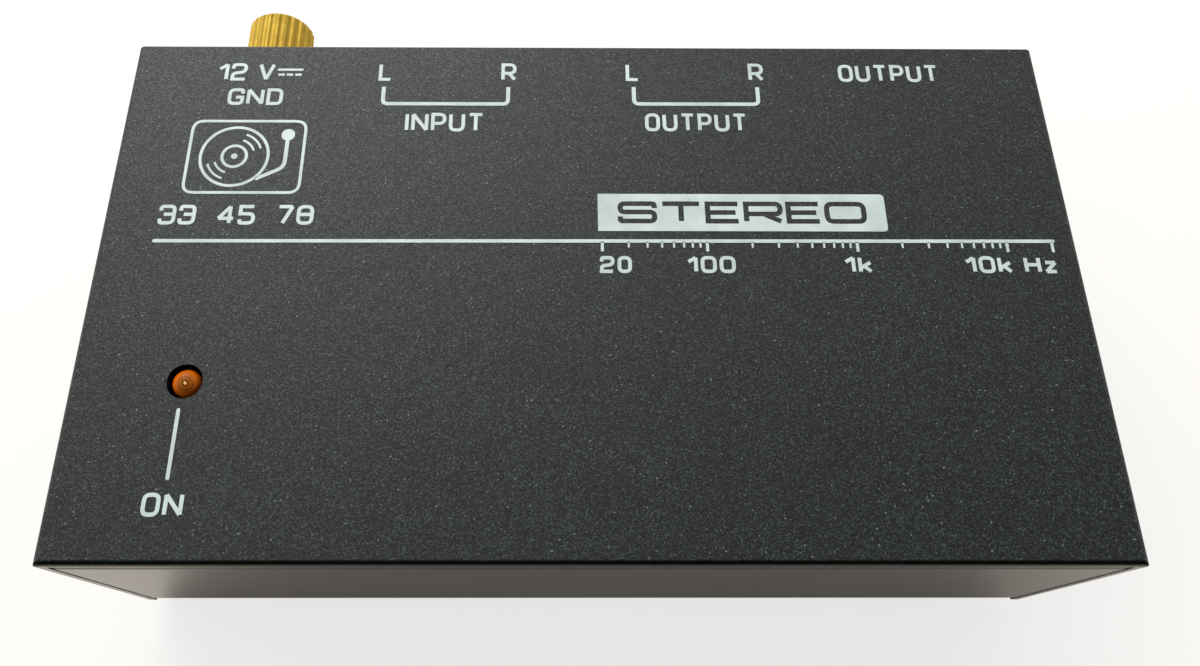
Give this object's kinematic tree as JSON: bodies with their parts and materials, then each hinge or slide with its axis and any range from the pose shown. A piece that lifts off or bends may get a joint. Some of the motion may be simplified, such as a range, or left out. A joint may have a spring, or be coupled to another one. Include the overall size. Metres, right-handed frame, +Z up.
{
  "type": "phono preamplifier",
  "caption": "Compact steel-cased phono preamplifier with a row of phono sockets, a phone socket, a DC inlet, an indicator lamp and a ground terminal whose knurled nut unscrews.",
  "frame": {"origin": "centre of the whole outline in plan, on the surface that the feet stand on", "axes": "+X to the right seen from the front, +Y back towards the sockets, +Z up through the cover"},
  "size_m": [0.104, 0.0668, 0.0309],
  "materials": {
    "cover_paint": "fine-textured dark grey powder coat",
    "chassis_paint": "semi-gloss dark grey",
    "foot_rubber": "matt",
    "black_screw": "black oxide",
    "zinc_steel": "zinc plated",
    "board_laminate": "solder mask",
    "black_plastic": "moulded",
    "nickel_plate": "nickel plated",
    "spring_metal": "tinned spring bronze",
    "tinned_metal": "tinned",
    "lead_insulation": "extruded",
    "brass": "gold-toned, knurled",
    "left_insulator": "moulded",
    "right_insulator": "moulded",
    "amber_lens": "clear-tinted epoxy",
    "chip_resin": "moulded",
    "can_sleeve": "printed shrink sleeve",
    "film_capacitor_skin": "dipped",
    "resistor_lacquer": "lacquered",
    "shrink_sleeve": "shrunk on"
  },
  "bodies": {
    "case": {"amplifier_chip_left": "chip_resin", "amplifier_chip_left_legs": "tinned_metal", "amplifier_chip_right": "chip_resin", "amplifier_chip_right_legs": "tinned_metal", "board_screws": "zinc_steel", "board_standoffs": "zinc_steel", "bypass_capacitors": "can_sleeve", "chassis": "chassis_paint", "choke": "shrink_sleeve", "circuit_board": "board_laminate", "coupling_capacitors": "can_sleeve", "cover_screws": "black_screw", "dc_socket_housing": "black_plastic", "dc_socket_pin": "nickel_plate", "dc_socket_spring": "spring_metal", "diode": "chip_resin", "film_capacitors": "film_capacitor_skin", "foot_front_left": "foot_rubber", "foot_front_right": "foot_rubber", "foot_rear_left": "foot_rubber", "foot_rear_right": "foot_rubber", "ground_lead": "lead_insulation", "ground_lock_nut": "brass", "ground_lug": "tinned_metal", "ground_star_washer": "zinc_steel", "ground_stud": "zinc_steel", "input_left_body": "black_plastic", "input_left_contact": "tinned_metal", "input_left_insulator": "left_insulator", "input_left_sleeve": "nickel_plate", "input_right_body": "black_plastic", "input_right_contact": "tinned_metal", "input_right_insulator": "right_insulator", "input_right_sleeve": "nickel_plate", "lamp_leads": "tinned_metal", "lamp_lens": "amber_lens", "lamp_spacer": "black_plastic", "output_left_body": "black_plastic", "output_left_contact": "tinned_metal", "output_left_insulator": "left_insulator", "output_left_sleeve": "nickel_plate", "output_right_body": "black_plastic", "output_right_contact": "tinned_metal", "output_right_insulator": "right_insulator", "output_right_sleeve": "nickel_plate", "phone_socket_bushing": "nickel_plate", "phone_socket_housing": "black_plastic", "phone_socket_nut": "nickel_plate", "phone_socket_ring_contact": "spring_metal", "phone_socket_sleeve_contact": "spring_metal", "phone_socket_tip_contact": "spring_metal", "phone_socket_washer": "nickel_plate", "regulator": "chip_resin", "resistors": "resistor_lacquer", "supply_capacitor": "can_sleeve", "top_cover": "cover_paint"},
    "clamp_washer": {"clamp_washer": "brass"},
    "thumb_nut": {"thumb_nut": "brass"}
  },
  "joints": [
    {"name": "washer_travel", "type": "slide", "parent": "case", "child": "clamp_washer", "axis": [0, 1, 0], "range_m": [0, 0.0035]},
    {"name": "thumb_nut_turn", "type": "hinge", "parent": "clamp_washer", "child": "thumb_nut", "pos_m": [-0.038, 0.0305, 0.0235], "axis": [0, 1, 0], "range_deg": [0, 1800]}
  ],
  "couplings": [
    {"joint": "thumb_nut_turn", "follows": "washer_travel", "rad_per_m": 8976}
  ]
}
